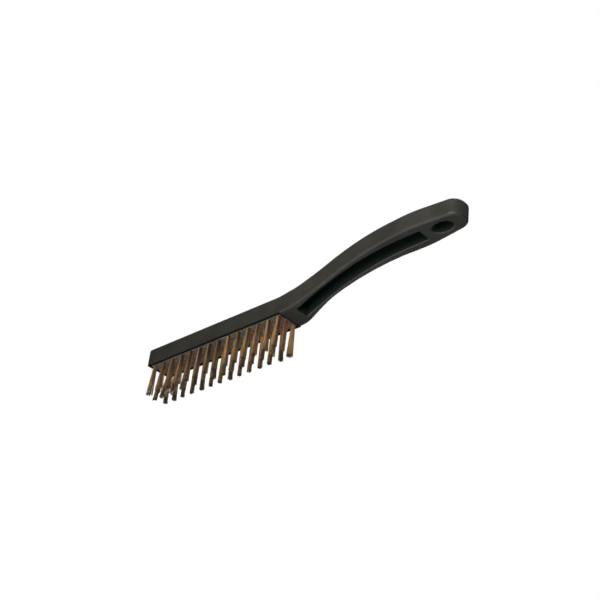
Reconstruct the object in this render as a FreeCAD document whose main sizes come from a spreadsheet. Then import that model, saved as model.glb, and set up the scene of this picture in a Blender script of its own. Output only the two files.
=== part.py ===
import FreeCAD, Part
import math
import os

import Sketcher
from FreeCAD import Vector

# Hand wire brush: an injection-moulded plastic block and handle in one piece, with rows of
# wire tufts. Each tuft is folded over a flat steel anchor that is driven into its hole.
#
# Frame: +X from the block's tip towards the handle, +Y towards the right hand, +Z up.
# The origin is in the plane of the bristle tips, at the middle of the brush.
# Lengths along the brush are measured from the block's tip, and heights from the tufting face.

# alias, value in mm, meaning
DIMENSIONS = [
    ("overall_length", 288.2, "block's tip to the end of the handle"),
    ("trim_length", 25.0, "free length of the bristles"),
    ("block_height", 13.9, "tufting face to the block's back"),
    ("block_half_width", 11.6, "centre plane to the block's side"),
    ("tip_corner_radius", 1.8, "upright corners of the block's tip"),
    ("back_edge_radius", 2.0, "rounded edge all round the back"),
    ("handle_edge_radius", 1.8, "rounded edge round the underside of the neck and handle"),
    # narrow groove in the underside of the block, right round the drilled core
    ("rim_thickness", 0.6, "wall between the block's side and the groove"),
    ("core_half_width", 9.0, "centre plane to the side of the core"),
    ("core_start_length", 2.8, "end of the core next to the tip"),
    ("core_end_length", 137.0, "end of the core next to the neck"),
    ("rim_end_length", 138.3, "end of the groove and of the rim next to the neck"),
    ("groove_corner_radius", 1.2, "outer corners of the groove at the tip"),
    ("groove_depth", 3.5, "groove round the core"),
    # side view, underside: foot of the rise, head of the rise, end
    ("foot_length", 147.5, "underside, foot of the rise"),
    ("foot_radius", 36.0, "underside, foot of the rise"),
    ("head_length", 196.5, "underside, head of the rise"),
    ("head_height", 23.3, "underside, head of the rise"),
    ("head_radius", 190.0, "underside, head of the rise"),
    ("end_underside_height", 25.1, "underside at the end of the handle"),
    # side view, back
    ("back_foot_length", 143.5, "back, foot of the rise"),
    ("back_foot_radius", 43.0, "back, foot of the rise"),
    ("back_head_length", 193.5, "back, head of the rise"),
    ("back_head_height", 37.2, "back, head of the rise"),
    ("back_head_radius", 191.0, "back, head of the rise"),
    ("end_back_height", 38.5, "back at the end of the handle"),
    # plan view: shoulder, waist, heel, end
    ("shoulder_length", 145.5, "where the block narrows to the neck"),
    ("shoulder_radius", 41.0, "shoulder in plan"),
    ("waist_length", 164.6, "narrowest place of the neck"),
    ("waist_half_width", 7.7, "narrowest place of the neck"),
    ("waist_radius", 116.0, "waist in plan"),
    ("heel_length", 252.7, "widest place of the handle"),
    ("heel_half_width", 12.3, "widest place of the handle"),
    ("heel_radius", 117.0, "heel in plan"),
    ("end_half_width", 8.4, "corner of the rounded end"),
    ("end_radius", 8.2, "rounded end in plan"),
    # pocket along the underside of the handle
    ("pocket_start_length", 149.9, "end of the pocket next to the block"),
    ("pocket_end_length", 255.3, "end of the pocket next to the hanging hole"),
    ("pocket_width", 10.4, "side to side"),
    ("pocket_wall", 2.6, "plastic left between the pocket and the back"),
    ("pocket_ramp_radius", 5.5, "curved end of the pocket next to the block"),
    ("pocket_end_radius", 1.0, "square end of the pocket"),
    ("pocket_lip_radius", 0.9, "rounded lip of the pocket"),
    # hanging hole
    ("hanging_hole_length", 270.7, "centre of the oval hole"),
    ("hanging_hole_long", 8.0, "half of the oval's long axis, at the wall"),
    ("hanging_hole_short", 5.2, "half of the oval's short axis, at the wall"),
    ("hanging_hole_lip", 1.0, "rounded lip of the hole"),
    # tufts
    ("first_column_length", 5.0, "first tuft column from the tip"),
    ("column_pitch", 10.0, "between tuft columns"),
    ("column_count", 14, "tufts in each row"),
    ("row_pitch", 7.2, "between tuft rows"),
    ("hole_diameter", 3.0, "tuft hole"),
    ("hole_depth", 9.0, "tuft hole"),
    ("tuft_clearance", 0.05, "between a tuft and its hole, all round"),
    ("tuft_tip_radius", 2.0, "loose end of a tuft"),
    ("row_splay", 0.65, "how far the outer rows lean out at the tips"),
    ("fold_thickness", 1.0, "wire folded over the anchor"),
    ("anchor_thickness", 0.5, "flat anchor"),
    ("anchor_height", 2.2, "flat anchor"),
    ("anchor_length", 3.5, "flat anchor, longer than the hole so that its ends grip the wall"),
]

# row name, its side of the centre plane
ROWS = [("left", -1), ("middle", 0), ("right", 1)]

MARGIN = 4.0  # how far a cutting outline reaches past the solid that it cuts

ANCHOR_FOOT = "Sheet.trim_length + Sheet.hole_depth - Sheet.fold_thickness - Sheet.anchor_height"


def make_sheet(doc):
    sheet = doc.addObject("Spreadsheet::Sheet", "Sheet")
    for row, (alias, value, meaning) in enumerate(DIMENSIONS, start=1):
        sheet.set(f"A{row}", meaning)
        sheet.set(f"B{row}", str(value))
        sheet.setAlias(f"B{row}", alias)
    doc.recompute()
    return sheet


def cell(alias):
    return f"Sheet.{alias}"


def origin_feature(body, role):
    return next(feature for feature in body.Origin.OriginFeatures if feature.Role == role)


# ---------------------------------------------------------------- sketches

def add_sketch(body, name, plane_role, height="Sheet.trim_length"):
    """A sketch on an origin plane, drawn from the block's tip.

    On XZ_Plane its second direction is up from the tufting face. On XY_Plane it is +Y, and the
    sketch lies at the given height."""
    sketch = body.newObject("Sketcher::SketchObject", name)
    sketch.AttachmentSupport = [(origin_feature(body, plane_role), "")]
    sketch.MapMode = "FlatFace"
    sketch.setExpression("AttachmentOffset.Base.x", "-Sheet.overall_length / 2")
    upward = "y" if plane_role == "XZ_Plane" else "z"
    sketch.setExpression(f"AttachmentOffset.Base.{upward}", height)
    return sketch


def drive(sketch, kind, references, expression):
    """A dimension of the sketch that follows an expression."""
    value = float(sketch.evalExpression(expression))
    index = sketch.addConstraint(Sketcher.Constraint(kind, *references, value))
    sketch.setExpression(f"Constraints[{index}]", expression)


def drive_point(sketch, geometry, position, x_expression, y_expression):
    drive(sketch, "DistanceX", (-1, 1, geometry, position), x_expression)
    drive(sketch, "DistanceY", (-1, 1, geometry, position), y_expression)


def draw_outline(sketch, corners):
    """A closed outline of straight sides through the corners, each a pair of expressions and the
    alias of its rounding radius, or None where the corner is sharp."""
    points = [Vector(sketch.evalExpression(x), sketch.evalExpression(y), 0) for x, y, _ in corners]
    count = len(corners)
    starts = list(points)
    ends = list(points)
    arcs = {}
    for i, (_, _, radius_alias) in enumerate(corners):
        if radius_alias is None:
            continue
        radius = sketch.evalExpression(cell(radius_alias))
        back = (points[i - 1] - points[i]).normalize()
        ahead = (points[(i + 1) % count] - points[i]).normalize()
        half_angle = back.getAngle(ahead) / 2
        ends[i] = points[i] + back * (radius / math.tan(half_angle))
        starts[i] = points[i] + ahead * (radius / math.tan(half_angle))
        centre = points[i] + (back + ahead).normalize() * (radius / math.sin(half_angle))
        turns_left = back.cross(ahead).z < 0
        first, last = (ends[i], starts[i]) if turns_left else (starts[i], ends[i])
        arcs[i] = (centre, radius, heading(first - centre), heading(last - centre), turns_left)

    sides = [sketch.addGeometry(Part.LineSegment(starts[i], ends[(i + 1) % count])) for i in range(count)]
    for i, (x, y, radius_alias) in enumerate(corners):
        side_in, side_out = sides[i - 1], sides[i]
        if radius_alias is None:
            sketch.addConstraint(Sketcher.Constraint("Coincident", side_in, 2, side_out, 1))
            drive_point(sketch, side_out, 1, x, y)
            continue
        centre, radius, first_angle, last_angle, turns_left = arcs[i]
        circle = Part.Circle(centre, Vector(0, 0, 1), radius)
        arc = sketch.addGeometry(Part.ArcOfCircle(circle, first_angle, last_angle))
        arc_in, arc_out = (1, 2) if turns_left else (2, 1)
        corner = sketch.addGeometry(Part.Point(points[i]), True)
        sketch.addConstraint(Sketcher.Constraint("Tangent", side_in, 2, arc, arc_in))
        sketch.addConstraint(Sketcher.Constraint("Tangent", side_out, 1, arc, arc_out))
        sketch.addConstraint(Sketcher.Constraint("PointOnObject", corner, 1, side_in))
        sketch.addConstraint(Sketcher.Constraint("PointOnObject", corner, 1, side_out))
        drive_point(sketch, corner, 1, x, y)
        drive(sketch, "Radius", (arc,), cell(radius_alias))


def heading(direction):
    return math.atan2(direction.y, direction.x)


def draw_circle(sketch, x, y, diameter):
    centre = Vector(sketch.evalExpression(x), sketch.evalExpression(y), 0)
    radius = sketch.evalExpression(diameter) / 2
    circle = sketch.addGeometry(Part.Circle(centre, Vector(0, 0, 1), radius))
    drive_point(sketch, circle, 3, x, y)
    drive(sketch, "Diameter", (circle,), diameter)


def draw_rectangle(sketch, x, y, width, depth):
    """A rectangle about the point x, y."""
    sides = [(-1, -1), (1, -1), (1, 1), (-1, 1)]
    corners = [(f"{x} + {i} * {width} / 2", f"{y} + {j} * {depth} / 2", None) for i, j in sides]
    draw_outline(sketch, corners)


def draw_ellipse(sketch, x, half_long, half_short):
    """An ellipse on the centre line, its long axis along the brush."""
    centre = Vector(sketch.evalExpression(x), 0, 0)
    long_end = centre + Vector(sketch.evalExpression(half_long), 0, 0)
    short_end = centre + Vector(0, sketch.evalExpression(half_short), 0)
    ellipse = sketch.addGeometry(Part.Ellipse(long_end, short_end, centre))
    sketch.exposeInternalGeometry(ellipse)
    long_axis, short_axis = ellipse + 1, ellipse + 2
    drive_point(sketch, ellipse, 3, x, "0")
    sketch.addConstraint(Sketcher.Constraint("Horizontal", long_axis))
    drive(sketch, "Distance", (long_axis,), f"2 * {half_long}")
    drive(sketch, "Distance", (short_axis,), f"2 * {half_short}")


# ---------------------------------------------------------------- features

def add_pad(body, name, sketch, length, both_sides=False):
    pad = body.newObject("PartDesign::Pad", name)
    pad.Profile = sketch
    pad.Midplane = both_sides
    pad.setExpression("Length", length)
    return pad


def add_pocket(body, name, sketch, length, both_sides=False, upward=False):
    """A pocket of the sketch; upward turns it from the usual way, which is down."""
    pocket = body.newObject("PartDesign::Pocket", name)
    pocket.Profile = sketch
    pocket.Midplane = both_sides
    pocket.Reversed = upward
    pocket.setExpression("Length", length)
    return pocket


def add_fillet(doc, body, name, base, is_wanted, radius):
    """Rounds every edge of the base feature that is_wanted accepts."""
    doc.recompute()
    wanted = [i for i, edge in enumerate(base.Shape.Edges, start=1) if is_wanted(base.Shape, edge)]
    fillet = body.newObject("PartDesign::Fillet", name)
    fillet.Base = (base, [f"Edge{i}" for i in wanted])
    fillet.setExpression("Radius", radius)
    doc.recompute()
    return fillet


def normals_beside(shape, edge):
    """The outward normals of the two faces that meet at the middle of the edge."""
    middle = edge.valueAt((edge.FirstParameter + edge.LastParameter) / 2)
    return [face.normalAt(*face.Surface.parameter(middle)) for face in shape.ancestorsOfType(edge, Part.Face)]


def is_sharp(shape, edge):
    normals = normals_beside(shape, edge)
    return len(normals) == 2 and normals[0].getAngle(normals[1]) > math.radians(5)


def is_back_edge(shape, edge):
    return is_sharp(shape, edge) and max(normal.z for normal in normals_beside(shape, edge)) > 0.5


# ---------------------------------------------------------------- block and handle

def make_block_and_handle(doc):
    body = doc.addObject("PartDesign::Body", "block_and_handle")

    side_view = add_sketch(body, "side_view", "XZ_Plane")
    draw_outline(side_view, [
        ("0", "0", None),
        (cell("foot_length"), "0", "foot_radius"),
        (cell("head_length"), cell("head_height"), "head_radius"),
        (cell("overall_length"), cell("end_underside_height"), None),
        (cell("overall_length"), cell("end_back_height"), None),
        (cell("back_head_length"), cell("back_head_height"), "back_head_radius"),
        (cell("back_foot_length"), cell("block_height"), "back_foot_radius"),
        ("0", cell("block_height"), None),
    ])
    add_pad(body, "blank", side_view, "2 * Sheet.heel_half_width + 2", both_sides=True)

    plan_view = add_sketch(body, "plan_view", "XY_Plane")
    beyond = f"{cell('heel_half_width')} + {MARGIN}"
    draw_outline(plan_view, [
        ("0", "0", None),
        ("0", cell("block_half_width"), "tip_corner_radius"),
        (cell("shoulder_length"), cell("block_half_width"), "shoulder_radius"),
        (cell("waist_length"), cell("waist_half_width"), "waist_radius"),
        (cell("heel_length"), cell("heel_half_width"), "heel_radius"),
        (cell("overall_length"), cell("end_half_width"), "end_radius"),
        (cell("overall_length"), "0", None),
        (f"{cell('overall_length')} + {MARGIN}", "0", None),
        (f"{cell('overall_length')} + {MARGIN}", beyond, None),
        (f"-{MARGIN}", beyond, None),
        (f"-{MARGIN}", "0", None),
    ])
    flank = add_pocket(body, "flank", plan_view, cell("end_back_height"), upward=True)
    both_flanks = body.newObject("PartDesign::Mirrored", "both_flanks")
    both_flanks.Originals = [flank]
    both_flanks.MirrorPlane = (origin_feature(body, "XZ_Plane"), [""])
    body.Tip = both_flanks

    rounded_back = add_fillet(doc, body, "rounded_back", both_flanks, is_back_edge, cell("back_edge_radius"))
    add_fillet(doc, body, "rounded_underside", rounded_back, is_sharp, cell("handle_edge_radius"))

    add_block_rim(body)
    add_handle_pocket(doc, body)
    add_hanging_hole(doc, body)
    add_tuft_holes(body)
    return body


def add_block_rim(body):
    """Squares the lower edges of the block again, and cuts the groove that leaves the rim round it.

    The rounded edge of the handle ends against the back of this rim."""
    side = cell("block_half_width")
    end = cell("rim_end_length")
    square = add_sketch(body, "rim_plan_view", "XY_Plane")
    draw_outline(square, [
        ("0", f"-{side}", "tip_corner_radius"),
        (end, f"-{side}", None),
        (end, side, None),
        ("0", side, "tip_corner_radius"),
    ])
    add_pad(body, "block_rim", square, cell("groove_depth"))

    ring = add_sketch(body, "groove_plan_view", "XY_Plane")
    outer = "(Sheet.block_half_width - Sheet.rim_thickness)"
    draw_outline(ring, [
        (cell("rim_thickness"), f"-{outer}", "groove_corner_radius"),
        (end, f"-{outer}", None),
        (end, outer, None),
        (cell("rim_thickness"), outer, "groove_corner_radius"),
    ])
    draw_outline(ring, [
        (cell("core_start_length"), f"-{cell('core_half_width')}", None),
        (cell("core_end_length"), f"-{cell('core_half_width')}", None),
        (cell("core_end_length"), cell("core_half_width"), None),
        (cell("core_start_length"), cell("core_half_width"), None),
    ])
    add_pocket(body, "groove", ring, cell("groove_depth"), upward=True)


def add_handle_pocket(doc, body):
    """A deep pocket that leaves a wall of even thickness at the handle's back."""
    past_foot = "(Sheet.pocket_start_length - Sheet.back_foot_length)"
    rise_slope = ("(Sheet.back_head_height - Sheet.block_height)"
                  " / (Sheet.back_head_length - Sheet.back_foot_length)")
    past_head = "(Sheet.pocket_end_length - Sheet.back_head_length)"
    grip_slope = ("(Sheet.end_back_height - Sheet.back_head_height)"
                  " / (Sheet.overall_length - Sheet.back_head_length)")
    start_ceiling = f"Sheet.block_height - Sheet.pocket_wall + {past_foot} * {rise_slope}"
    head_ceiling = "Sheet.back_head_height - Sheet.pocket_wall"
    end_ceiling = f"{head_ceiling} + {past_head} * {grip_slope}"

    side_view = add_sketch(body, "pocket_side_view", "XZ_Plane")
    draw_outline(side_view, [
        (cell("pocket_start_length"), "0", None),
        (cell("pocket_end_length"), "0", None),
        (cell("pocket_end_length"), end_ceiling, "pocket_end_radius"),
        (cell("back_head_length"), head_ceiling, "back_head_radius"),
        (cell("pocket_start_length"), start_ceiling, "pocket_ramp_radius"),
    ])
    uncut = body.Tip
    pocket = add_pocket(body, "handle_pocket", side_view, cell("pocket_width"), both_sides=True)
    round_new_lip(doc, body, "pocket_lip", uncut, pocket, cell("pocket_lip_radius"))


def add_hanging_hole(doc, body):
    oval = add_sketch(body, "hanging_hole_oval", "XY_Plane")
    draw_ellipse(oval, cell("hanging_hole_length"), cell("hanging_hole_long"), cell("hanging_hole_short"))
    uncut = body.Tip
    hole = add_pocket(body, "hanging_hole", oval, cell("end_back_height") + f" + {MARGIN}", upward=True)
    round_new_lip(doc, body, "hanging_hole_lip", uncut, hole, cell("hanging_hole_lip"))


def round_new_lip(doc, body, name, uncut, cut, radius):
    """Rounds the edges that a cut made in the skin of the solid as it was before."""
    doc.recompute()

    def in_old_skin(shape, edge):
        middle = Part.Vertex(edge.valueAt((edge.FirstParameter + edge.LastParameter) / 2))
        is_new = all(middle.distToShape(old)[0] > 0.01 for old in uncut.Shape.Edges)
        return is_new and middle.distToShape(uncut.Shape.Shells[0])[0] < 0.001

    return add_fillet(doc, body, name, cut, in_old_skin, radius)


def add_tuft_holes(body):
    """Blind holes with a cut in the wall at each end of the anchor, one column then the rest."""
    column = cell("first_column_length")
    holes = add_sketch(body, "hole_column", "XY_Plane")
    cuts = add_sketch(body, "anchor_cut_column", "XY_Plane", ANCHOR_FOOT)
    for _, side in ROWS:
        row = f"{side} * Sheet.row_pitch"
        draw_circle(holes, column, row, cell("hole_diameter"))
        draw_rectangle(cuts, column, row, cell("anchor_thickness"), cell("anchor_length"))
    first_holes = add_pocket(body, "first_holes", holes, cell("hole_depth"), upward=True)
    first_cuts = add_pocket(body, "first_anchor_cuts", cuts, cell("anchor_height"), upward=True)
    columns = body.newObject("PartDesign::LinearPattern", "tuft_holes")
    columns.Originals = [first_holes, first_cuts]
    columns.Direction = (origin_feature(body, "X_Axis"), [""])
    columns.setExpression("Length", "Sheet.column_pitch * (Sheet.column_count - 1)")
    columns.setExpression("Occurrences", cell("column_count"))
    body.Tip = columns


# ---------------------------------------------------------------- tufts and anchors

def column_place(column):
    return f"Sheet.first_column_length + {column} * Sheet.column_pitch - Sheet.overall_length / 2"


def add_circle(doc, name, place, radius):
    circle = doc.addObject("Part::Circle", name)
    for axis, expression in zip("xyz", place):
        circle.setExpression(f"Placement.Base.{axis}", expression)
    circle.setExpression("Radius", radius)
    return circle


def add_block(doc, name, middle, size, foot):
    """A box about middle, a pair of expressions in plan, that stands at the height foot."""
    block = doc.addObject("Part::Box", name)
    for side, expression in zip(("Length", "Width", "Height"), size):
        block.setExpression(side, expression)
    block.setExpression("Placement.Base.x", f"{middle[0]} - {size[0]} / 2")
    block.setExpression("Placement.Base.y", f"{middle[1]} - {size[1]} / 2")
    block.setExpression("Placement.Base.z", foot)
    return block


def make_tuft(doc, name, row_side, column):
    """Wires folded over the anchor: straight in the hole, then spreading to the loose tips."""
    x = column_place(column)
    y = f"{row_side} * Sheet.row_pitch"
    packed = "Sheet.hole_diameter / 2 - Sheet.tuft_clearance"
    tip_y = f"{row_side} * (Sheet.row_pitch + Sheet.row_splay)"
    wires = doc.addObject("Part::Loft", f"{name}_wires")
    wires.Sections = [
        add_circle(doc, f"{name}_tips", (x, tip_y, "0"), cell("tuft_tip_radius")),
        add_circle(doc, f"{name}_mouth", (x, y, cell("trim_length")), packed),
        add_circle(doc, f"{name}_fold", (x, y, "Sheet.trim_length + Sheet.hole_depth"), packed),
    ]
    wires.Solid = True
    wires.Ruled = True
    anchor_size = (cell("anchor_thickness"), cell("anchor_length"), cell("anchor_height"))
    tuft = doc.addObject("Part::Cut", name)
    tuft.Base = wires
    tuft.Tool = add_block(doc, f"{name}_anchor_place", (x, y), anchor_size, ANCHOR_FOOT)
    return tuft


def make_anchor_row(doc, name, row_side, column_count):
    """One flat anchor in each hole of the row, all separate solids."""
    y = f"{row_side} * Sheet.row_pitch"
    anchor_size = (cell("anchor_thickness"), cell("anchor_length"), cell("anchor_height"))
    row = doc.addObject("Part::Compound", name)
    row.Links = [
        add_block(doc, f"{name}_{column + 1:02d}", (column_place(column), y), anchor_size, ANCHOR_FOOT)
        for column in range(column_count)
    ]
    return row


# ---------------------------------------------------------------- checks and files

def check(doc, nodes):
    for item in doc.Objects:
        if "Invalid" in item.State or "Error" in item.State:
            raise RuntimeError(f"{item.Label} did not recompute: {item.State}")
    for node in nodes:
        if node.Shape.isNull() or not node.Shape.isValid() or not node.Shape.Solids:
            raise RuntimeError(f"{node.Label} has no valid solid")


def main():
    doc = FreeCAD.newDocument("wire_brush")
    sheet = make_sheet(doc)
    column_count = int(sheet.get("column_count"))
    nodes = [make_block_and_handle(doc)]
    for row, side in ROWS:
        nodes += [make_tuft(doc, f"tuft_{row}_{i + 1:02d}", side, i) for i in range(column_count)]
        nodes.append(make_anchor_row(doc, f"anchors_{row}", side, column_count))
    doc.recompute()
    check(doc, nodes)
    os.makedirs("parts", exist_ok=True)
    for node in nodes:
        node.Shape.exportStep(f"parts/{node.Label}.step")


main()
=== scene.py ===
"""Hand wire brush: a satin plastic block and handle, with wire tufts folded over steel anchors."""

import math
import random

import bpy
import numpy as np
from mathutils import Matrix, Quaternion, Vector


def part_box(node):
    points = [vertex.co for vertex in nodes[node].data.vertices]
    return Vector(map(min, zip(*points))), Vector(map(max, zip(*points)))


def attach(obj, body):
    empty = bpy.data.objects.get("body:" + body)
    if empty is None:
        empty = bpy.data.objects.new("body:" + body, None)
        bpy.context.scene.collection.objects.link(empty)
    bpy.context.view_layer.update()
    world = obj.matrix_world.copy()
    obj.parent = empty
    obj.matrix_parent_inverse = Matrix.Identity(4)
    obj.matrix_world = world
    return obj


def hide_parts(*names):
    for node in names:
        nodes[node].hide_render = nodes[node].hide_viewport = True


MM = 0.001

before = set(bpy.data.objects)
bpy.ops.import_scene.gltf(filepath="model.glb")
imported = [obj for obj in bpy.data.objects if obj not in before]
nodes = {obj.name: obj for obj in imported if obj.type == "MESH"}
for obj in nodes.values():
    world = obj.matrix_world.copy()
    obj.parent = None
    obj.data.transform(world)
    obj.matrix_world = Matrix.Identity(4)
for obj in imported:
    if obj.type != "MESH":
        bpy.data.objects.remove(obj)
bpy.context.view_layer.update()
block_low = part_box("block_and_handle")[0]

# Camera: low, on the handle's side of the brush, looking up at the tufts
CAMERA_AIM = Vector((2.3, 0.0, 38.4)) * MM
CAMERA_DISTANCE = 899.2 * MM
CAMERA_AZIMUTH = math.radians(46.54)
CAMERA_ELEVATION = math.radians(-31.84)
CAMERA_ROLL = math.radians(6.87)
CAMERA_LENS = 77.4

CAMERA_CLIP = (0.01, 20)

# Stage
FLOOR_SIZE = 60.0
FLOOR_Z = -1.1
FLOOR_DARK = (0.80, 0.80, 0.79, 1)
FLOOR_LIGHT = (0.84, 0.84, 0.83, 1)
FLOOR_ROUGHNESS = 0.9
SURROUND_LIGHT = 0.06
# place and diameter in metres, power in watts, linear colour
LIGHTS = {
    "key": ((0.25, -0.39, -0.02), 0.30, 2.75, (1.0, 0.96, 0.90)),
    "low_fill": ((-0.30, -0.30, -0.60), 0.80, 2.9, (0.88, 1.0, 0.94)),
    "top": ((0.10, 0.25, 0.90), 0.70, 8.0, (1.0, 0.99, 0.97)),
    "far_side": ((-0.30, 0.85, 0.30), 0.60, 9.0, (0.95, 0.98, 1.0)),
}

# Linear colours
PLASTIC_DARK = (0.028, 0.0275, 0.0245, 1)
PLASTIC_LIGHT = (0.036, 0.035, 0.0305, 1)
PLASTIC_STREAK = (0.042, 0.040, 0.035, 1)
# painted shade: near-black teal for the walls of the pocket, hanging hole, groove and tuft holes
PLASTIC_PAINTED_SHADE = (0.0025, 0.009, 0.0065, 1)
PLASTIC_SPECULAR = 0.27
# the drilled face: lighter than the plastic from drill debris and painted bounce light from the wires;
# its darker mottle is partly painted shadow
TUFTING_FACE_DARK = (0.070, 0.060, 0.054, 1)
TUFTING_FACE_LIGHT = (0.235, 0.20, 0.175, 1)
WIRE_TAN = (0.72, 0.435, 0.205, 1)
WIRE_GOLD = (0.57, 0.375, 0.115, 1)
WIRE_BROWN = (0.13, 0.08, 0.04, 1)
# painted shadow on the dark side of each tuft, near its roots
WIRE_ROOT_SHADOW = (0.055, 0.020, 0.016, 1)
WIRE_COPPER = (0.36, 0.09, 0.06, 1)
# painted shade at the cut tips of the wires
WIRE_TIP_SHADE = (0.03, 0.022, 0.016, 1)
WIRE_METALLIC = 0.55
STEEL_DARK = (0.42, 0.42, 0.43, 1)
STEEL_LIGHT = (0.60, 0.60, 0.60, 1)

# Block and handle, as the frame has them
TIP_X = block_low.x
CREASE_X = TIP_X + 138.3 * MM
TUFTING_Z = block_low.z
RIM_INSIDE = 10.0 * MM
GROOVE_OUTSIDE = 11.05 * MM
GROOVE_START_X = TIP_X + 0.55 * MM
FACE_TOP_Z = TUFTING_Z + 0.2 * MM
HOLE_WALL_Z = (TUFTING_Z + 0.15 * MM, TUFTING_Z + 9.2 * MM)
POCKET_X = (TIP_X + 149.8 * MM, TIP_X + 255.4 * MM)
POCKET_HALF_WIDTH = 5.25 * MM
HANGING_HOLE_X = TIP_X + 270.7 * MM
HANGING_HOLE_AXES = (8.1 * MM, 5.3 * MM)
COPPER_START_X = TIP_X + 105 * MM
COPPER_EDGE_Y = (-5 * MM, -1 * MM)

# Tufts: every wire is a hairpin that is folded over the anchor
COLUMN_COUNT = 14
ROW_SIDES = {"left": -1, "middle": 0, "right": 1}
ROW_PITCH = 7.2 * MM
ROW_SPLAY = 0.65 * MM
HOLE_RADIUS = 1.5 * MM
FOLD_THICKNESS = 1.0 * MM
ANCHOR_HALF_THICKNESS = 0.25 * MM
WIRE_DIAMETER = 0.35 * MM
WIRE_PITCH = 0.38 * MM
WIRE_SIDES = 6
FREE_STEPS = 14
FOLD_STEPS = 6
FOLD_RISE = 0.6
BEND_POWER = 1.25
SEED = 42

# How the wires of a tuft differ. Names that end in _MM are plain numbers of millimetres
CRIMP_MM = (0.03, 0.10)
CRIMP_LENGTH_MM = (5.0, 8.0)
STRAY_SHARE = 0.02
STRAY_MM = (0.4, 0.9)
TRIM_NOISE_MM = 0.08
DOME_MM = (0.0, 0.3)
SLANT = (0.0, 0.2)
TANGLE_MM = 0.15
# keeps the cut ends of leaning wires above the lowest point of the frame
END_LIFT = 0.02 * MM
HUE = (0.1, 1.0)
# painted light and shade across each tuft: lighter on its side towards the brush's tip, darker towards
# the handle, with random tone by bundle and wire on top
SHADE_MIDDLE = 0.5
SHADE_ACROSS = 0.62
SHADE_NOISE = 0.08

# Loose bundles inside a tuft
CLUMP_COUNTS = (3, 4)
CLUMP_PLACE = 0.6
CLUMP_OUTWARD_MM = (-0.1, 0.25)
CLUMP_LEAN_MM = 0.1
CLUMP_TRIM_MM = (0.0, 0.9)
CLUMP_SHADE = 0.18

# How the tufts differ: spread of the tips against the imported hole, smallest and largest
ROW_SPREAD = {"left": (1.22, 1.47), "middle": (1.12, 1.37), "right": (1.02, 1.22)}
LEAN_ALONG_MM = 0.3
LEAN_ACROSS_MM = 0.25
RIGHT_TRIM = 0.2
WORN_COLUMNS = 4
WORN_SPREAD = 1.45
WORN_TANGLE_MM = 0.5
# towards the tip of the block, columns 1 to 4
MIDDLE_LEAN = [3.0 * MM, 4.4 * MM, 3.6 * MM, 2.2 * MM]
OVERHANGING_TUFT = ("middle", 1)
OVERHANGING_SPREAD = 1.05
FLARED_TUFT = ("right", 14)
FLARED_SPREAD = 1.75
FLARED_TANGLE_MM = 0.12


# ---------------------------------------------------------------- node materials

class Shader:
    """A node material with the principled shader, and short calls to add nodes to it."""

    def __init__(self, name):
        self.material = bpy.data.materials.new(name)
        self.material.use_nodes = True
        self.tree = self.material.node_tree
        self.principled = self.tree.nodes["Principled BSDF"]
        self.position = self.add("ShaderNodeTexCoord").outputs["Object"]

    def add(self, kind, **settings):
        node = self.tree.nodes.new(kind)
        for key, value in settings.items():
            setattr(node, key, value)
        return node

    def link(self, source, target):
        self.tree.links.new(source, target)

    def feed(self, socket, value):
        """Links an output to the socket, or sets a plain value on it."""
        if isinstance(value, bpy.types.NodeSocket):
            self.link(value, socket)
        else:
            socket.default_value = value

    def axes(self):
        node = self.add("ShaderNodeSeparateXYZ")
        self.link(self.position, node.inputs[0])
        return node.outputs

    def attribute(self, name):
        return self.add("ShaderNodeAttribute", attribute_name=name).outputs["Fac"]

    def math(self, operation, first, second=0.0):
        node = self.add("ShaderNodeMath", operation=operation)
        self.feed(node.inputs[0], first)
        self.feed(node.inputs[1], second)
        return node.outputs[0]

    def between(self, value, low, high):
        above = self.math("GREATER_THAN", value, low)
        return self.math("MULTIPLY", above, self.math("LESS_THAN", value, high))

    def noise(self, scale, detail=3.0, stretch=(1.0, 1.0, 1.0), roughness=0.5):
        mapping = self.add("ShaderNodeMapping")
        mapping.inputs["Scale"].default_value = stretch
        self.link(self.position, mapping.inputs["Vector"])
        node = self.add("ShaderNodeTexNoise")
        node.inputs["Scale"].default_value = scale
        node.inputs["Detail"].default_value = detail
        node.inputs["Roughness"].default_value = roughness
        self.link(mapping.outputs[0], node.inputs["Vector"])
        return node.outputs["Fac"]

    def ramp(self, value, low, high, from_low=0.0, from_high=1.0):
        """Low to high as the value goes from from_low to from_high, smooth at both ends."""
        node = self.add("ShaderNodeMapRange", interpolation_type="SMOOTHSTEP")
        self.feed(node.inputs["Value"], value)
        ends = {"From Min": from_low, "From Max": from_high, "To Min": low, "To Max": high}
        for name, number in ends.items():
            node.inputs[name].default_value = number
        return node.outputs["Result"]

    def mix(self, factor, first, second):
        node = self.add("ShaderNodeMix", data_type="RGBA")
        colour_first, colour_second = [socket for socket in node.inputs if socket.type == "RGBA"]
        self.feed(node.inputs["Factor"], factor)
        self.feed(colour_first, first)
        self.feed(colour_second, second)
        return next(socket for socket in node.outputs if socket.type == "RGBA")

    def bump(self, height, distance, strength=1.0, normal=None):
        node = self.add("ShaderNodeBump")
        node.inputs["Strength"].default_value = strength
        node.inputs["Distance"].default_value = distance
        self.link(height, node.inputs["Height"])
        if normal is not None:
            self.link(normal, node.inputs["Normal"])
        return node.outputs["Normal"]


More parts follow.
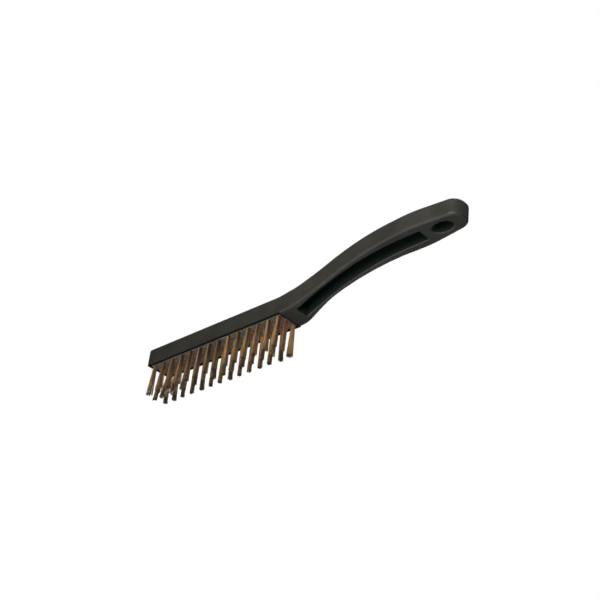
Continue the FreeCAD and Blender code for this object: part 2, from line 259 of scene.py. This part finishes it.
def moulded_plastic():
    """Satin black-brown plastic: a fine mould grain, faint flow streaks, a drilled face lighter from
    drill debris and painted bounce light, and painted shade on the walls of the hollows.
    """
    shader = Shader("moulded_plastic")
    patches = shader.noise(55, detail=4)
    streaks = shader.noise(260, detail=3, stretch=(0.12, 1.0, 1.0))
    grain = shader.noise(2600, detail=2, roughness=0.6)
    pores = shader.noise(900, detail=2)
    debris_and_shadow_mottle = shader.noise(650, detail=4, roughness=0.65)

    tone = shader.mix(shader.ramp(patches, 0.0, 1.0, 0.35, 0.65), PLASTIC_DARK, PLASTIC_LIGHT)
    tone = shader.mix(shader.ramp(streaks, 0.0, 0.35, 0.5, 0.75), tone, PLASTIC_STREAK)
    # drilled face: drill debris and painted bounce light, with a mottle that is partly painted shadow
    debris_and_bounce_light = shader.mix(shader.ramp(debris_and_shadow_mottle, 0.0, 1.0, 0.35, 0.68), TUFTING_FACE_DARK, TUFTING_FACE_LIGHT)
    drilled = tufting_face_mask(shader)
    tone = shader.mix(drilled, tone, debris_and_bounce_light)
    # painted shade on the walls of the pocket, hanging hole, groove and tuft holes, which are also made
    # rougher
    recess_shade = recess_shade_mask(shader)
    tone = shader.mix(recess_shade, tone, PLASTIC_PAINTED_SHADE)
    shader.link(tone, shader.principled.inputs["Base Color"])

    grain_polish = shader.ramp(grain, -0.04, 0.04)
    polish = shader.math("ADD", grain_polish, shader.ramp(patches, 0.42, 0.50, 0.3, 0.7))
    rough_places = shader.math("MAXIMUM", drilled, recess_shade)
    rough = shader.math("ADD", polish, shader.math("MULTIPLY", rough_places, 0.3))
    shader.link(rough, shader.principled.inputs["Roughness"])
    shader.principled.inputs["Specular IOR Level"].default_value = PLASTIC_SPECULAR
    relief = shader.bump(pores, 0.02 * MM, 0.4)
    relief = shader.bump(grain, 0.012 * MM, 0.7, relief)
    shader.link(relief, shader.principled.inputs["Normal"])
    return shader.material


def tufting_face_mask(shader):
    """1 on the drilled face inside the groove, 0 elsewhere."""
    x, y, z = shader.axes()
    level = shader.math("LESS_THAN", z, FACE_TOP_Z)
    before_neck = shader.math("LESS_THAN", x, CREASE_X)
    inside_rim = shader.math("LESS_THAN", shader.math("ABSOLUTE", y), RIM_INSIDE)
    return shader.math("MULTIPLY", shader.math("MULTIPLY", level, before_neck), inside_rim)


def recess_shade_mask(shader):
    """1 on the walls of the pocket, hanging hole, groove and tuft holes, where painted shade goes; 0
    elsewhere.
    """
    x, y, z = shader.axes()
    away = shader.math("ABSOLUTE", y)
    facing = shader.add("ShaderNodeSeparateXYZ")
    shader.link(shader.add("ShaderNodeNewGeometry").outputs["Normal"], facing.inputs[0])
    not_back = shader.math("LESS_THAN", facing.outputs[2], 0.5)

    in_pocket = shader.math("LESS_THAN", away, POCKET_HALF_WIDTH)
    in_pocket = shader.math("MULTIPLY", shader.between(x, *POCKET_X), in_pocket)
    in_pocket = shader.math("MULTIPLY", in_pocket, not_back)
    along = shader.math("DIVIDE", shader.math("SUBTRACT", x, HANGING_HOLE_X), HANGING_HOLE_AXES[0])
    across = shader.math("DIVIDE", y, HANGING_HOLE_AXES[1])
    squares = [shader.math("POWER", shader.math("ABSOLUTE", part), 2.0) for part in (along, across)]
    in_hole = shader.math("LESS_THAN", shader.math("ADD", *squares), 1.0)
    in_length = shader.between(x, GROOVE_START_X, CREASE_X)
    in_block = shader.math("MULTIPLY", in_length, shader.between(z, *HOLE_WALL_Z))
    in_block = shader.math("MULTIPLY", in_block, shader.math("LESS_THAN", away, GROOVE_OUTSIDE))
    return shader.math("MAXIMUM", shader.math("MAXIMUM", in_pocket, in_hole), in_block)


def bristle_wire():
    """Brass-coloured drawn wire: tarnished in strands, coppery at the roots, with painted shade on one
    side of each tuft, darkest near the roots, and at the cut tips.
    """
    shader = Shader("bristle_wire")
    x, y, z = shader.axes()
    height = shader.math("DIVIDE", z, TUFTING_Z)
    shade = shader.attribute("shade")
    hue = shader.attribute("hue")
    strands = shader.noise(900, detail=3, stretch=(1.0, 1.0, 0.12))
    blotches = shader.noise(420, detail=3, stretch=(1.0, 1.0, 0.4))

    tone = shader.mix(hue, WIRE_GOLD, WIRE_TAN)
    tone = shader.mix(shader.ramp(strands, 0.0, 0.6, 0.5, 0.66), tone, WIRE_BROWN)
    # painted shade: the dark side of each tuft, reddest and darkest near the roots
    near_root = shader.ramp(height, 0.0, 1.0, 0.25, 0.85)
    shadow_and_tarnished_tone = shader.mix(near_root, WIRE_BROWN, WIRE_ROOT_SHADOW)
    tone = shader.mix(shade, tone, shadow_and_tarnished_tone)
    near_neck = shader.ramp(x, 0.0, 1.0, COPPER_START_X, CREASE_X)
    reddened = shader.math("MULTIPLY", near_neck, shader.ramp(height, 0.0, 1.0, 0.45, 1.0))
    reddened = shader.math("MULTIPLY", reddened, shader.ramp(y, 0.15, 1.0, *COPPER_EDGE_Y))
    copper = shader.math("MULTIPLY", reddened, shader.ramp(blotches, 0.1, 1.0, 0.42, 0.62))
    tone = shader.mix(copper, tone, WIRE_COPPER)
    # painted shade towards the cut tips, in blotches, and near black at the tips themselves
    near_tips = shader.ramp(height, 0.7, 0.0, 0.0, 0.45)
    tip_shade_blotches = shader.math("MULTIPLY", near_tips, shader.ramp(blotches, 0.4, 1.0, 0.35, 0.6))
    tone = shader.mix(tip_shade_blotches, tone, WIRE_BROWN)
    tone = shader.mix(shader.ramp(height, 0.95, 0.0, 0.0, 0.11), tone, WIRE_TIP_SHADE)
    shader.link(tone, shader.principled.inputs["Base Color"])
    shader.principled.inputs["Metallic"].default_value = WIRE_METALLIC
    shader.link(shader.ramp(blotches, 0.36, 0.56), shader.principled.inputs["Roughness"])
    drawing_lines = shader.noise(9000, detail=1, stretch=(1.0, 1.0, 0.05))
    shader.link(shader.bump(drawing_lines, 0.01 * MM, 0.4), shader.principled.inputs["Normal"])
    return shader.material


def anchor_steel():
    """Bright flat steel wire, sheared to length."""
    shader = Shader("anchor_steel")
    rolling_lines = shader.noise(4000, detail=2, stretch=(1.0, 0.05, 1.0))
    tone = shader.mix(rolling_lines, STEEL_DARK, STEEL_LIGHT)
    shader.link(tone, shader.principled.inputs["Base Color"])
    shader.principled.inputs["Metallic"].default_value = 1.0
    shader.link(shader.ramp(rolling_lines, 0.25, 0.45), shader.principled.inputs["Roughness"])
    shader.link(shader.bump(rolling_lines, 0.01 * MM, 0.5), shader.principled.inputs["Normal"])
    return shader.material


# ---------------------------------------------------------------- tufts

def packed_legs():
    """Places of the wires on one side of the anchor, in a close packing that fills half the hole."""
    reach_x = HOLE_RADIUS - WIRE_DIAMETER / 2
    row_step = WIRE_PITCH * math.sin(math.radians(60))
    places = []
    x = ANCHOR_HALF_THICKNESS + WIRE_DIAMETER / 2
    offset = 0.0
    while x <= reach_x:
        reach_y = math.sqrt(reach_x ** 2 - x ** 2)
        count = int(reach_y / WIRE_PITCH) + 1
        ys = [i * WIRE_PITCH + offset for i in range(-count, count + 1)]
        places += [(x, y) for y in ys if abs(y) <= reach_y]
        offset = WIRE_PITCH / 2 - offset
        x += row_step
    return places


def smooth(t):
    return t * t * (3 - 2 * t)


def tuft_lean(row, column, draw):
    """How far the wire tips lean along and across the brush. The worn middle tufts lean to its tip."""
    along = draw.gauss(0, LEAN_ALONG_MM) * MM
    across = draw.gauss(0, LEAN_ACROSS_MM) * MM + ROW_SIDES[row] * ROW_SPLAY
    if row == "middle" and column <= WORN_COLUMNS:
        along = -MIDDLE_LEAN[column - 1]
    if row == "left" and column == 1:
        along = 0.0
    return along, across


def tuft_spread(row, column, draw):
    spread = draw.uniform(*ROW_SPREAD[row])
    if row != "right" and column <= WORN_COLUMNS:
        spread *= WORN_SPREAD
    return spread


def make_clumps(draw):
    """Loose bundles that a tuft's wires part into towards their tips: place, lean, trim and shade."""
    turn = draw.uniform(0, 2 * math.pi)
    count = draw.choice(CLUMP_COUNTS)
    clumps = []
    for i in range(count):
        angle = turn + 2 * math.pi * i / count
        outward = draw.uniform(*CLUMP_OUTWARD_MM) * MM
        lean_x = outward * math.cos(angle) + draw.gauss(0, CLUMP_LEAN_MM) * MM
        lean_y = outward * math.sin(angle) + draw.gauss(0, CLUMP_LEAN_MM) * MM
        clumps.append({
            "place": (
                HOLE_RADIUS * CLUMP_PLACE * math.cos(angle),
                HOLE_RADIUS * CLUMP_PLACE * math.sin(angle),
            ),
            "lean": (lean_x, lean_y),
            "trim": draw.uniform(*CLUMP_TRIM_MM) * MM,
            "shade": draw.gauss(0, CLUMP_SHADE),
        })
    clumps[0]["trim"] = 0.0
    return clumps


def nearest_clump(tuft, x, y):
    return min(tuft["clumps"], key=lambda clump: math.dist(clump["place"], (x, y)))


def leg_shade(tuft, x, y, draw):
    """0 for bright wire, 1 for dark: painted light and shade, brighter on a tuft's side towards the
    brush's tip, with random tarnishing.
    """
    shade = SHADE_MIDDLE + SHADE_ACROSS * x / HOLE_RADIUS + nearest_clump(tuft, x, y)["shade"]
    shade += draw.gauss(0, SHADE_NOISE)
    return min(1.0, max(0.0, shade))


def leg_path(tuft, x, y, draw):
    """From the cut tip up to the mouth of the hole, for a leg whose place in the hole is x, y."""
    clump = nearest_clump(tuft, x, y)
    angle = draw.uniform(0, 2 * math.pi)
    stray = abs(draw.gauss(0, tuft["tangle"])) * MM
    if draw.random() < STRAY_SHARE:
        stray = draw.uniform(*STRAY_MM) * MM
    crimp_turn = draw.uniform(0, 2 * math.pi)
    crimp = draw.uniform(*CRIMP_MM) * MM
    crimp_length = draw.uniform(*CRIMP_LENGTH_MM) * MM
    edge = (math.hypot(x, y) / HOLE_RADIUS) ** 2
    trim = clump["trim"] + abs(draw.gauss(0, TRIM_NOISE_MM)) * MM + edge * tuft["dome"]
    trim += max(0.0, tuft["slant"][0] * x + tuft["slant"][1] * y)
    low = tuft["tip_z"] + END_LIFT + trim
    lean_x = tuft["lean"][0] + clump["lean"][0] + stray * math.cos(angle)
    lean_y = tuft["lean"][1] + clump["lean"][1] + stray * math.sin(angle)
    path = []
    for step in range(FREE_STEPS + 1):
        z = low + (tuft["mouth"].z - low) * step / FREE_STEPS
        free = max(0.0, 1 - (z - tuft["tip_z"]) / (tuft["mouth"].z - tuft["tip_z"]))
        bend = free ** BEND_POWER
        spread = 1 + (tuft["spread"] - 1) * free
        wave = crimp * smooth(min(1.0, free * 3)) * math.sin(2 * math.pi * z / crimp_length + crimp_turn)
        px = x * spread + lean_x * bend + wave * math.cos(crimp_turn)
        py = y * spread + lean_y * bend + wave * math.sin(crimp_turn)
        path.append(tuft["mouth"] + Vector((px, py, z - tuft["mouth"].z)))
    return path


def wire_path(tuft, x, y, draw):
    """One hairpin: up one side of the anchor, over its top edge and down the other side."""
    up = leg_path(tuft, -x, y, draw)
    down = leg_path(tuft, x, y, draw)
    rise = x * FOLD_RISE
    turns = (math.pi * i / FOLD_STEPS for i in range(FOLD_STEPS + 1))
    mouth, top = tuft["mouth"], tuft["anchor_top"]
    fold = [Vector((mouth.x - x * math.cos(a), mouth.y + y, top + rise * math.sin(a))) for a in turns]
    return up + fold + down[::-1]


def tube(path, radius, sides):
    """Vertices and faces of a round wire along the path, with flat ends."""
    points = np.array([tuple(p) for p in path])
    tangents = np.gradient(points, axis=0)
    tangents /= np.linalg.norm(tangents, axis=1)[:, None]
    across = np.array([0.0, 1.0, 0.0])
    first = np.cross(tangents, across)
    first /= np.linalg.norm(first, axis=1)[:, None]
    second = np.cross(tangents, first)
    turn = 2 * np.pi * np.arange(sides) / sides
    cosines, sines = np.cos(turn)[None, :, None], np.sin(turn)[None, :, None]
    around = cosines * first[:, None, :] + sines * second[:, None, :]
    rings = points[:, None, :] + radius * around
    count = len(points)
    faces = []
    for ring in range(count - 1):
        here, there = ring * sides, (ring + 1) * sides
        for i in range(sides):
            j = (i + 1) % sides
            faces.append((here + i, here + j, there + j, there + i))
    faces.append(tuple(range(sides))[::-1])
    faces.append(tuple(range((count - 1) * sides, count * sides)))
    return rings.reshape(-1, 3), faces


def describe_tuft(node, row, column, draw):
    """Where one tuft stands, and how its wires lean, spread and are trimmed."""
    low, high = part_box(node)
    slant_turn = draw.uniform(0, 2 * math.pi)
    slant = draw.uniform(*SLANT)
    tuft = {
        "mouth": Vector(((low.x + high.x) / 2, ROW_SIDES[row] * ROW_PITCH, TUFTING_Z)),
        "tip_z": low.z,
        "anchor_top": high.z - FOLD_THICKNESS,
        "spread": tuft_spread(row, column, draw),
        "dome": draw.uniform(*DOME_MM) * MM,
        "slant": (slant * math.cos(slant_turn), slant * math.sin(slant_turn)),
        "lean": tuft_lean(row, column, draw),
        "clumps": make_clumps(draw),
        "tangle": TANGLE_MM,
    }
    if row != "right" and column <= WORN_COLUMNS:
        tuft["tangle"] = WORN_TANGLE_MM
        for clump in tuft["clumps"]:
            clump["lean"] = (0.0, 0.0)
    if (row, column) == OVERHANGING_TUFT:
        tuft.update(spread=OVERHANGING_SPREAD, tangle=TANGLE_MM)
    if row == "right":
        tuft["slant"] = (0.0, 0.0)
        for clump in tuft["clumps"]:
            clump["trim"] *= RIGHT_TRIM
    if (row, column) == FLARED_TUFT:
        tuft.update(spread=FLARED_SPREAD, dome=0.0, lean=(0.0, 0.0), tangle=FLARED_TANGLE_MM)
        for clump in tuft["clumps"]:
            clump.update(lean=(0.0, 0.0), trim=0.0)
    tuft["hue"] = draw.uniform(*HUE)
    return tuft


def tuft_mesh(name, tuft, material, draw):
    """All wires of a tuft as one mesh, with a painted shade and tarnished tone for each leg and one hue
    for the tuft.
    """
    vertices, faces, shades = [], [], []
    start = 0
    for x, y in packed_legs():
        points, wire_faces = tube(wire_path(tuft, x, y, draw), WIRE_DIAMETER / 2, WIRE_SIDES)
        faces += [tuple(start + i for i in face) for face in wire_faces]
        vertices.append(points)
        start += len(points)
        half = len(points) // 2
        shades += [leg_shade(tuft, -x, y, draw)] * half
        shades += [leg_shade(tuft, x, y, draw)] * (len(points) - half)
    mesh = bpy.data.meshes.new(name)
    mesh.from_pydata(np.concatenate(vertices).tolist(), [], faces)
    mesh.materials.append(material)
    hues = [tuft["hue"]] * len(shades)
    for attribute, values in (("shade", shades), ("hue", hues)):
        mesh.attributes.new(attribute, "FLOAT", "POINT").data.foreach_set("value", values)
    for polygon in mesh.polygons:
        polygon.use_smooth = len(polygon.vertices) == 4
    return mesh


def make_tuft(row, column, material, draw):
    node = f"tuft_{row}_{column:02d}"
    name = node + "_wires"
    tuft = describe_tuft(node, row, column, draw)
    wires = bpy.data.objects.new(name, tuft_mesh(name, tuft, material, draw))
    bpy.context.scene.collection.objects.link(wires)
    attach(wires, "root")
    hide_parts(node)


# ---------------------------------------------------------------- stage

def make_camera():
    data = bpy.data.cameras.new("camera")
    data.lens = CAMERA_LENS
    data.clip_start, data.clip_end = CAMERA_CLIP
    camera = bpy.data.objects.new("camera", data)
    bpy.context.scene.collection.objects.link(camera)
    level = math.cos(CAMERA_ELEVATION)
    back = Vector((
        math.sin(CAMERA_AZIMUTH) * level,
        -math.cos(CAMERA_AZIMUTH) * level,
        math.sin(CAMERA_ELEVATION),
    ))
    camera.location = CAMERA_AIM + back * CAMERA_DISTANCE
    camera.rotation_mode = "QUATERNION"
    camera.rotation_quaternion = (-back).to_track_quat("-Z", "Y") @ Quaternion((0, 0, 1), CAMERA_ROLL)
    bpy.context.scene.camera = camera


def make_light(name, place, size, power, colour):
    """A soft round light that looks at the brush."""
    data = bpy.data.lights.new(name, "AREA")
    data.shape = "DISK"
    data.size = size
    data.energy = power
    data.color = colour
    light = bpy.data.objects.new(name, data)
    bpy.context.scene.collection.objects.link(light)
    light.visible_camera = False
    light.location = place
    light.rotation_mode = "QUATERNION"
    light.rotation_quaternion = (CAMERA_AIM - Vector(place)).to_track_quat("-Z", "Y")


def make_world():
    """A white surround for the camera that lights the brush as a softer grey one."""
    world = bpy.data.worlds.new("studio")
    world.use_nodes = True
    tree = world.node_tree
    background = tree.nodes["Background"]
    seen = tree.nodes.new("ShaderNodeLightPath").outputs["Is Camera Ray"]
    strength = tree.nodes.new("ShaderNodeMapRange")
    tree.links.new(seen, strength.inputs["Value"])
    strength.inputs["To Min"].default_value = SURROUND_LIGHT
    strength.inputs["To Max"].default_value = 1.0
    tree.links.new(strength.outputs["Result"], background.inputs["Strength"])
    background.inputs["Color"].default_value = (1, 1, 1, 1)
    bpy.context.scene.world = world


def make_floor():
    """A pale level sheet far below the brush, which glows for the camera only."""
    shader = Shader("floor")
    tone = shader.mix(shader.noise(6, detail=2), FLOOR_DARK, FLOOR_LIGHT)
    shader.link(tone, shader.principled.inputs["Base Color"])
    shader.principled.inputs["Roughness"].default_value = FLOOR_ROUGHNESS
    shader.link(tone, shader.principled.inputs["Emission Color"])
    seen = shader.add("ShaderNodeLightPath").outputs["Is Camera Ray"]
    shader.link(seen, shader.principled.inputs["Emission Strength"])
    half = FLOOR_SIZE / 2
    mesh = bpy.data.meshes.new("floor")
    corners = [(x * half, y * half, FLOOR_Z) for x, y in ((-1, -1), (1, -1), (1, 1), (-1, 1))]
    mesh.from_pydata(corners, [], [(0, 1, 2, 3)])
    mesh.materials.append(shader.material)
    floor = bpy.data.objects.new("floor", mesh)
    bpy.context.scene.collection.objects.link(floor)


def make_brush():
    plastic = moulded_plastic()
    wire = bristle_wire()
    steel = anchor_steel()
    for name, node in nodes.items():
        node.data.materials.clear()
        node.data.materials.append(plastic if name == "block_and_handle" else steel)
    draw = random.Random(SEED)
    for row in ROW_SIDES:
        for column in range(1, COLUMN_COUNT + 1):
            make_tuft(row, column, wire, draw)


make_camera()
make_world()
make_floor()
for light_name, light_values in LIGHTS.items():
    make_light(light_name, *light_values)
bpy.context.scene.view_settings.view_transform = "Standard"
make_brush()
